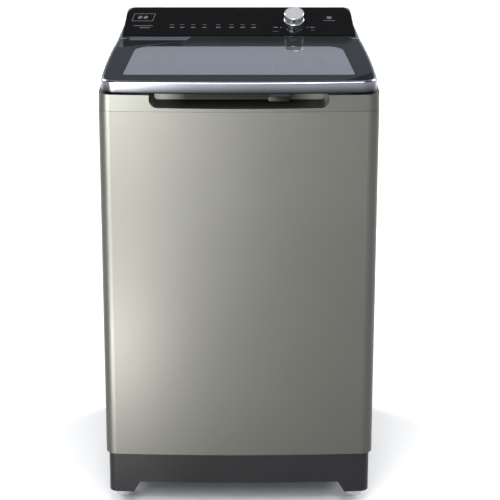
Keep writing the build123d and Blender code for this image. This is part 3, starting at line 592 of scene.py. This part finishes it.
def makeLidGlass():
    low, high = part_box("lid_glass")
    y0, y1 = low.y + lidGlass["front"], high.y - lidGlass["rear"]
    frontHalf = high.x - lidGlass["side"]
    deselectAll()
    bpy.ops.mesh.primitive_cube_add(size=1, location=(0, (y0 + y1) / 2, (low.z + high.z) / 2))
    cutter = newPiece("windowCutter")
    cutter.scale = (2 * frontHalf, y1 - y0, lidGlass["cutHeight"])
    settle(cutter)
    pickFaces(cutter, lambda center, normal: normal.y > 0.9)
    narrowed = 1 - lidGlass["taper"] / frontHalf
    bpy.ops.transform.resize(value=(narrowed, 1, 1), center_override=(0, y1, low.z))
    leaveEdit()
    for edgeY, corner in ((y0, "frontCorner"), (y1, "rearCorner")):
        pickEdges(cutter, lambda a, b: abs(a.z - b.z) > lidGlass["cutHeight"] / 2 and abs(a.y - edgeY) < 1e-4)
        bpy.ops.mesh.bevel(offset=lidGlass[corner], segments=8, affect="EDGES")
        leaveEdit()
    outwards(cutter)
    pane = copyNode("lid_glass", "clearPane")
    border = copyNode("lid_glass", "printedBorder")
    addModifier(pane, "BOOLEAN", object=cutter, operation="INTERSECT", solver="EXACT")
    addModifier(border, "BOOLEAN", object=cutter, operation="DIFFERENCE", solver="EXACT")
    discard(cutter)
    smooth(pane, lidGlass["creaseAngle"])
    smooth(border, lidGlass["creaseAngle"])
    finishPiece(pane, "lid", "tinted_glass", surfaces["tintedGlass"], "lid_glass")
    finishPiece(border, "lid", "lid_black", surfaces["borderPrint"], "lid_glass")


makeLidGlass()
report("lid glass cut")


# console: everything on the face is set out from the knob's foot

dialJoint = next(joint for joint in frame["joints"] if joint["name"] == "dial_turn")
faceNormal = Vector(dialJoint["axis"]).normalized()
faceRight = Vector((1, 0, 0))
faceUp = faceNormal.cross(faceRight)
knobFoot = Vector(dialJoint["pos_m"])
faceTurn = Matrix((faceRight, faceUp, faceNormal)).transposed().to_4x4()
faceMatrix = Matrix.Translation(knobFoot) @ faceTurn

knob = {
    "skirt": [
        (0.0193, 0.0005), (0.0221, 0.0005), (0.0225, 0.0012), (0.0225, 0.0026), (0.0219, 0.0032),
        (0.0216, 0.0100), (0.0218, 0.0168), (0.0221, 0.0190), (0.0219, 0.0198), (0.0214, 0.0203),
        (0.0208, 0.0203), (0.0206, 0.0198), (0.0206, 0.0150), (0.0193, 0.0150), (0.0193, 0.0005),
    ],
    "capRadius": 0.0202, "capLow": 0.0190, "capHigh": 0.0200, "rings": 14, "ringDepth": 0.00022,
    "notch": (0.0046, 0.0030, 0.0135), "notchFront": -0.0220, "notchEdge": 0.0008,
    "pointer": (0.0030, 0.0008, 0.0110), "pointerFront": -0.0209, "pointerEdge": 0.0003,
    "markHeight": 0.0112, "capEdge": 0.0003, "turns": 96,
}


def makeKnob():
    skirt = turned("knobSkirt", knob["skirt"], knob["turns"])
    deselectAll()
    width, depth, height = knob["notch"]
    bpy.ops.mesh.primitive_cube_add(size=1, location=(0, knob["notchFront"], knob["markHeight"]))
    cutter = newPiece("notchCutter")
    cutter.scale = (width, depth, height)
    settle(cutter)
    addModifier(cutter, "BEVEL", width=knob["notchEdge"], segments=3)
    addModifier(skirt, "BOOLEAN", object=cutter, operation="DIFFERENCE", solver="EXACT")
    discard(cutter)
    placeOn(smooth(skirt, 30), faceMatrix)
    finishPiece(skirt, "dial", "knob_chrome", surfaces["knobChrome"], "dial_knob")

    deselectAll()
    width, depth, height = knob["pointer"]
    bpy.ops.mesh.primitive_cube_add(size=1, location=(0, knob["pointerFront"], knob["markHeight"]))
    pointer = newPiece("knobPointer")
    pointer.scale = (width, depth, height)
    settle(pointer)
    addModifier(pointer, "BEVEL", width=knob["pointerEdge"], segments=2)
    placeOn(smooth(pointer), faceMatrix)
    finishPiece(pointer, "dial", "lid_black", surfaces["lidPlastic"], "dial_knob")

    radius, step = knob["capRadius"], knob["capRadius"] / (knob["rings"] + 1)
    profile = [(0.0, knob["capLow"]), (radius, knob["capLow"]), (radius, knob["capHigh"] - knob["capEdge"])]
    for ring in range(knob["rings"]):
        outer = radius - step * ring
        profile.append((outer - step * 0.2, knob["capHigh"]))
        profile.append((outer - step * 0.8, knob["capHigh"] - knob["ringDepth"]))
    profile.append((0.0, knob["capHigh"]))
    cap = turned("knobCap", profile, knob["turns"])
    placeOn(smooth(cap, 60), faceMatrix)
    finishPiece(cap, "dial", "knob_cap", surfaces["capMetal"], "dial_cap")


makeKnob()
report("knob turned")


# plain printed marks on the face: (x, up) from the knob's foot, width, height, slant

faceMarks = {
    "thick": 0.00012,
    "programmes": [(-0.277 + step, -0.026, 0.0105, 0.0026, 0) for step in
                   (0.000, 0.023, 0.048, 0.074, 0.105, 0.135, 0.160, 0.185)],
    "lamps": [(-0.277 + step, -0.0165, 0.0100, 0.0011, 0) for step in
              (0.000, 0.023, 0.048, 0.074, 0.105, 0.135, 0.160, 0.185)],
    "settings": [(-0.042, -0.026, 0.0110, 0.0026, 0), (-0.042, -0.040, 0.0140, 0.0012, 0),
                 (0.041, -0.026, 0.0110, 0.0026, 0), (0.041, -0.036, 0.0070, 0.0012, 0)],
    "dots": [(-0.030, -0.026, 0.0032, 0.0032, 0), (0.030, -0.026, 0.0032, 0.0032, 0),
             (-0.016, -0.034, 0.0026, 0.0026, 0), (0.016, -0.034, 0.0026, 0.0026, 0)],
    "badge": [(-0.339, 0.0215, 0.0470, 0.0014, 0), (-0.345, -0.0035, 0.0470, 0.0014, 0),
              (-0.3655, 0.009, 0.0014, 0.0250, 0.006), (-0.3185, 0.009, 0.0014, 0.0250, 0.006),
              (-0.350, 0.009, 0.0090, 0.0100, 0.003), (-0.337, 0.009, 0.0090, 0.0100, 0.003)],
    "badgeLines": [(-0.342, -0.0200, 0.0440, 0.0018, 0), (-0.338, -0.0270, 0.0240, 0.0022, 0)],
    "childLock": [(0.080, 0.0080, 0.0120, 0.0085, 0), (0.080, -0.0020, 0.0260, 0.0016, 0)],
}


def makeMark(x, up, width, height, slant):
    deselectAll()
    bpy.ops.mesh.primitive_plane_add(size=1, location=(0, 0, 0))
    mark = newPiece("mark")
    mark.scale = (width, height, 1)
    settle(mark)
    enterEdit(mark, "VERT")
    bpy.ops.mesh.select_all(action="SELECT")
    bpy.ops.mesh.bevel(offset=min(width, height) * 0.4, segments=3, affect="VERTICES")
    bpy.ops.mesh.select_all(action="SELECT")
    bpy.ops.mesh.extrude_region_move(TRANSFORM_OT_translate={"value": (0, 0, faceMarks["thick"])})
    leaveEdit()
    for vertex in mark.data.vertices:
        vertex.co.x += x + slant * vertex.co.y / height
        vertex.co.y += up
    return mark


def makeFaceMarks():
    for name in ("programmes", "lamps", "settings", "dots", "badge", "badgeLines", "childLock"):
        marks = [makeMark(*mark) for mark in faceMarks[name]]
        piece = placeOn(outwards(join(marks, "print_" + name)), faceMatrix)
        finishPiece(piece, "cabinet", "strip_grey", surfaces["facePrint"])


makeFaceMarks()
report("console printed")


# basket wall: one tile with a hole, repeated, then rolled into a drum

basket = {"columns": 66, "rows": 17, "hole": 0.0019, "sheet": 0.0010, "band": 0.020, "flat": 0.5}


def makeBasketWall():
    low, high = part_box("basket_wall")
    radius = (high.x - low.x) / 2 - basket["sheet"] / 2
    height = high.z - low.z
    tileWide = 2 * math.pi * radius / basket["columns"]
    tileHigh = (height - 2 * basket["band"]) / basket["rows"]
    deselectAll()
    bpy.ops.mesh.primitive_plane_add(size=1, location=(0, 0, 0), rotation=(math.radians(90), 0, 0))
    wall = newPiece("perforatedDrum")
    wall.scale = (tileWide, tileHigh, 1)
    settle(wall)
    enterEdit(wall, "VERT")
    bpy.ops.mesh.select_all(action="SELECT")
    bpy.ops.mesh.subdivide(number_cuts=1)
    leaveEdit()
    middle = min(wall.data.vertices, key=lambda vertex: vertex.co.length)
    for vertex in wall.data.vertices:
        vertex.select = vertex.index == middle.index
    for item in list(wall.data.edges) + list(wall.data.polygons):
        item.select = False
    enterEdit(wall, "VERT")
    bpy.ops.mesh.bevel(offset=basket["hole"], segments=2, profile=basket["flat"], affect="VERTICES")
    leaveEdit()
    pickFaces(wall, lambda center, normal: center.length < basket["hole"] * 0.2)
    bpy.ops.mesh.delete(type="FACE")
    leaveEdit()
    addModifier(wall, "ARRAY", count=basket["columns"], relative_offset_displace=(1, 0, 0),
                use_merge_vertices=True, merge_threshold=1e-5)
    addModifier(wall, "ARRAY", count=basket["rows"], relative_offset_displace=(0, 0, 1),
                use_merge_vertices=True, merge_threshold=1e-5)
    lowest = min(vertex.co.z for vertex in wall.data.vertices)
    highest = max(vertex.co.z for vertex in wall.data.vertices)
    for edge, way in ((lowest, -1), (highest, 1)):
        pickEdges(wall, lambda a, b: abs(a.z - edge) < 1e-5 and abs(b.z - edge) < 1e-5)
        bpy.ops.mesh.extrude_region_move(TRANSFORM_OT_translate={"value": (0, 0, way * basket["band"])})
        leaveEdit()
    addModifier(wall, "SIMPLE_DEFORM", deform_method="BEND", angle=2 * math.pi, deform_axis="Z")
    xs = [vertex.co.x for vertex in wall.data.vertices]
    ys = [vertex.co.y for vertex in wall.data.vertices]
    zs = [vertex.co.z for vertex in wall.data.vertices]
    away = Vector(((min(xs) + max(xs)) / 2, (min(ys) + max(ys)) / 2, min(zs)))
    scale = radius * 2 / (max(xs) - min(xs))
    target = Vector(((low.x + high.x) / 2, (low.y + high.y) / 2, low.z))
    moved = Matrix.Translation(target) @ Matrix.Diagonal((scale, scale, 1, 1)) @ Matrix.Translation(-away)
    placeOn(wall, moved)
    outwards(wall)
    addModifier(wall, "SOLIDIFY", thickness=basket["sheet"] * 0.9, offset=0)
    smooth(wall, 30)
    finishPiece(wall, "basket", "stainless", surfaces["stainlessSheet"], "basket_wall")


makeBasketWall()
report("basket perforated")


# pulsator: a dished disc with swept fins

pulsatorLook = {
    "profile": [(0.150, 0.0), (0.168, 0.0), (0.170, 0.003), (0.169, 0.0075), (0.162, 0.0082), (0.120, 0.0050),
                (0.075, 0.0070), (0.052, 0.0160), (0.040, 0.0215), (0.024, 0.0222), (0.0148, 0.0222),
                (0.0146, 0.0150), (0.012, 0.0150), (0.012, 0.001), (0.150, 0.0)],
    "fins": 6, "finFoot": (0.110, 0.026, 0.022), "finMiddle": 0.098, "finTurn": 8.0,
    "finTop": (0.82, 0.34), "finTopShift": 0.1, "finDrop": 0.35, "finEdge": 0.0045, "finLift": 0.0028,
    "capSeat": 0.0118, "turns": 96,
}


def makePulsator():
    low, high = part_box("pulsator")
    disc = turned("pulsatorDisc", pulsatorLook["profile"], pulsatorLook["turns"])
    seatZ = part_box("pulsator_cap")[0].z - pulsatorLook["capSeat"]
    axis = Vector(((low.x + high.x) / 2, (low.y + high.y) / 2, seatZ))
    fins = []
    length, width, height = pulsatorLook["finFoot"]
    for step in range(pulsatorLook["fins"]):
        deselectAll()
        bpy.ops.mesh.primitive_cube_add(size=1, location=(0, 0, 0))
        fin = newPiece("fin")
        fin.scale = (length, width, height)
        settle(fin)
        pickFaces(fin, lambda center, normal: normal.z > 0.9)
        top = (-length * pulsatorLook["finTopShift"], 0, height / 2)
        bpy.ops.transform.resize(value=(*pulsatorLook["finTop"], 1), center_override=top)
        leaveEdit()
        pickEdges(fin, lambda a, b: a.z > 0 and b.z > 0 and a.x > 0 and b.x > 0)
        bpy.ops.transform.translate(value=(0, 0, -height * pulsatorLook["finDrop"]))
        leaveEdit()
        addModifier(fin, "BEVEL", width=pulsatorLook["finEdge"], segments=3)
        turn = Matrix.Rotation(math.radians(step * 360 / pulsatorLook["fins"]), 4, "Z")
        lean = Matrix.Rotation(math.radians(pulsatorLook["finTurn"]), 4, "Z")
        out = Matrix.Translation((pulsatorLook["finMiddle"], 0, height / 2 + pulsatorLook["finLift"]))
        placeOn(fin, turn @ out @ lean)
        fins.append(fin)
    whole = join([disc] + fins, "pulsatorPlate")
    placeOn(whole, Matrix.Translation(axis))
    smooth(whole, 40)
    finishPiece(whole, "agitator", "agitator_grey", surfaces["agitatorPlastic"], "pulsator")


makePulsator()
report("pulsator shaped")


# rear panel: pressed ribs and louvres on the plain sheet

rearRibs = {
    "long": [(-0.235, 0.42, 0.030, 0.52), (0.235, 0.36, 0.030, 0.40)],
    "wide": [(0.0, 0.640, 0.300, 0.022), (0.0, 0.700, 0.300, 0.022), (0.0, 0.760, 0.300, 0.022),
             (0.0, 0.820, 0.300, 0.022)],
    "louvres": [(0.0, 0.300 + 0.030 * step, 0.180, 0.012) for step in range(6)],
    "proud": 0.0032, "cornerShare": 0.42, "edge": 0.0009,
}


def makeRib(x, z, wide, tall, surfaceY):
    deselectAll()
    bpy.ops.mesh.primitive_plane_add(size=1, location=(0, 0, 0), rotation=(math.radians(-90), 0, 0))
    rib = newPiece("rib")
    rib.scale = (wide, tall, 1)
    settle(rib)
    enterEdit(rib, "VERT")
    bpy.ops.mesh.select_all(action="SELECT")
    bpy.ops.mesh.bevel(offset=min(wide, tall) * rearRibs["cornerShare"], segments=5, affect="VERTICES")
    leaveEdit()
    enterEdit(rib, "FACE")
    bpy.ops.mesh.select_all(action="SELECT")
    bpy.ops.mesh.extrude_region_move(TRANSFORM_OT_translate={"value": (0, rearRibs["proud"], 0)})
    ratio = 1 - 2 * rearRibs["proud"] / min(wide, tall)
    longer = max(wide, tall)
    shrink = (1 - (1 - ratio) * tall / longer, 1, 1 - (1 - ratio) * wide / longer)
    bpy.ops.transform.resize(value=shrink, center_override=(0, 0, 0))
    leaveEdit()
    addModifier(rib, "BEVEL", width=rearRibs["edge"], segments=2, limit_method="ANGLE")
    rib.location = (x, surfaceY, z)
    return settle(rib)


def makeRearRibs():
    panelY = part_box("rear_panel")[1].y
    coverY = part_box("rear_access_cover")[1].y
    ribs = [makeRib(*rib, panelY) for rib in rearRibs["long"] + rearRibs["wide"]]
    whole = smooth(outwards(join(ribs, "rearPanelRibs")))
    finishPiece(whole, "cabinet", "zinc_steel", surfaces["zincSheet"])
    louvres = [makeRib(*rib, coverY) for rib in rearRibs["louvres"]]
    whole = smooth(outwards(join(louvres, "coverLouvres")))
    finishPiece(whole, "cabinet", "zinc_steel", surfaces["zincSheet"])


makeRearRibs()
report("rear panel pressed")


# lock lip: the moulding covers the lower part of the lid lock in the recess

lockLip = {"height": 0.0125, "thick": 0.0012, "edge": 0.0004}


def makeLockLip():
    low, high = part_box("lid_lock_housing")
    deselectAll()
    bpy.ops.mesh.primitive_cube_add(size=1, location=(0, 0, 0))
    lip = newPiece("lockLip")
    lip.scale = (high.x - low.x, lockLip["thick"], lockLip["height"])
    lip.location = ((low.x + high.x) / 2, low.y - lockLip["thick"] / 2, low.z + lockLip["height"] / 2)
    settle(lip)
    addModifier(lip, "BEVEL", width=lockLip["edge"], segments=2)
    smooth(lip)
    # the lip takes the apron's finish, so the apron's painted recess shade darkens it too
    finishPiece(lip, "cabinet", "apron_metallic", surfaces["apronLacquer"])


makeLockLip()
report("lock lip fitted")


# the springs, squeezed between the tub's ears above and the rods' plates below, are a smoothed copy of the
# imported coils

def makeSprings():
    coils = smooth(copyNode("suspension_springs", "coilSprings"), 40)
    coils.data.materials.clear()
    coils.data.materials.append(surfaces["shaftSteel"])
    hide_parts("suspension_springs")
    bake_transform(coils)


makeSprings()
report("springs ready")


# stage, lights and camera

studio = {
    "floor": 60.0, "floorColor": (0.88, 0.88, 0.88, 1.0), "worldStrength": 0.95,
    "lowSky": (0.88, 0.94, 1.06), "highSky": (0.12, 0.12, 0.125), "skyStart": 0.34, "skyEnd": 0.58,
    "floorRoughness": 0.7, "camera": (0.0, -4.271, 1.974), "tilt": 19.0, "lens": 141.5, "sensor": 36.0,
    "shift": 0.022,
}
# a lamp with onlyGloss shows in reflections and lights no dull surface, so it throws no shadow on the floor
lights = {
    "keyLeft": {
        "place": (-1.2, -2.3, 0.80), "aim": (0.0, -0.3, 0.5), "size": (1.5, 1.3), "energy": 112.0,
        "onlyGloss": True,
    },
    "lowLeft": {
        "place": (-0.62, -1.0, 0.08), "aim": (-0.25, -0.3, 0.1), "size": (0.6, 0.12), "energy": 9.0,
        "onlyGloss": True,
    },
    "frontSoft": {"place": (-0.5, -3.8, 3.4), "aim": (0.0, -0.4, 0.3), "size": (2.4, 2.4), "energy": 120.0},
    "topSoft": {"place": (0.3, -2.1, 3.7), "aim": (0.0, 0.0, 0.6), "size": (1.8, 1.8), "energy": 60.0},
    "backLeft": {"place": (-3.4, 2.6, 3.4), "aim": (-0.2, 3.0, 0.0), "size": (2.4, 2.4), "energy": 230.0},
    "backRight": {"place": (3.4, 2.6, 3.4), "aim": (0.2, 3.0, 0.0), "size": (2.4, 2.4), "energy": 230.0},
}


def makeStage():
    deselectAll()
    bpy.ops.mesh.primitive_plane_add(size=studio["floor"], location=(0, 0, 0))
    floor = newPiece("floor")
    material, tree, shader = startMaterial("paleFloor")
    shader.inputs["Base Color"].default_value = studio["floorColor"]
    shader.inputs["Roughness"].default_value = studio["floorRoughness"]
    floor.data.materials.append(material)
    world = bpy.data.worlds.new("paleRoom")
    bpy.context.scene.world = world
    world.use_nodes = True
    tree = world.node_tree
    background = tree.nodes["Background"]
    background.inputs["Strength"].default_value = studio["worldStrength"]
    split = tree.nodes.new("ShaderNodeSeparateXYZ")
    tree.links.new(tree.nodes.new("ShaderNodeTexCoord").outputs["Generated"], split.inputs[0])
    height = rangeNode(tree, split.outputs["Z"], studio["skyStart"], studio["skyEnd"], 0.0, 1.0)
    sky = mixColors(tree, height, studio["lowSky"], studio["highSky"])
    tree.links.new(sky, background.inputs["Color"])
    for name, light in lights.items():
        bpy.ops.object.light_add(type="AREA", location=light["place"])
        lamp = bpy.context.active_object
        lamp.name = name
        lamp.data.shape = "RECTANGLE"
        lamp.data.size, lamp.data.size_y = light["size"]
        lamp.data.energy = light["energy"]
        lamp.visible_diffuse = not light.get("onlyGloss", False)
        lamp.visible_camera = False
        aim = Vector(light["aim"]) - Vector(light["place"])
        lamp.rotation_euler = aim.to_track_quat("-Z", "Y").to_euler()


def makeCamera():
    bpy.ops.object.camera_add(location=studio["camera"])
    camera = bpy.context.active_object
    camera.rotation_euler = (math.radians(90 - studio["tilt"]), 0, 0)
    camera.data.lens = studio["lens"]
    camera.data.sensor_width = studio["sensor"]
    camera.data.shift_x = studio["shift"]
    bpy.context.scene.camera = camera


makeStage()
makeCamera()
bpy.context.scene.view_settings.view_transform = "Standard"
report("studio ready")
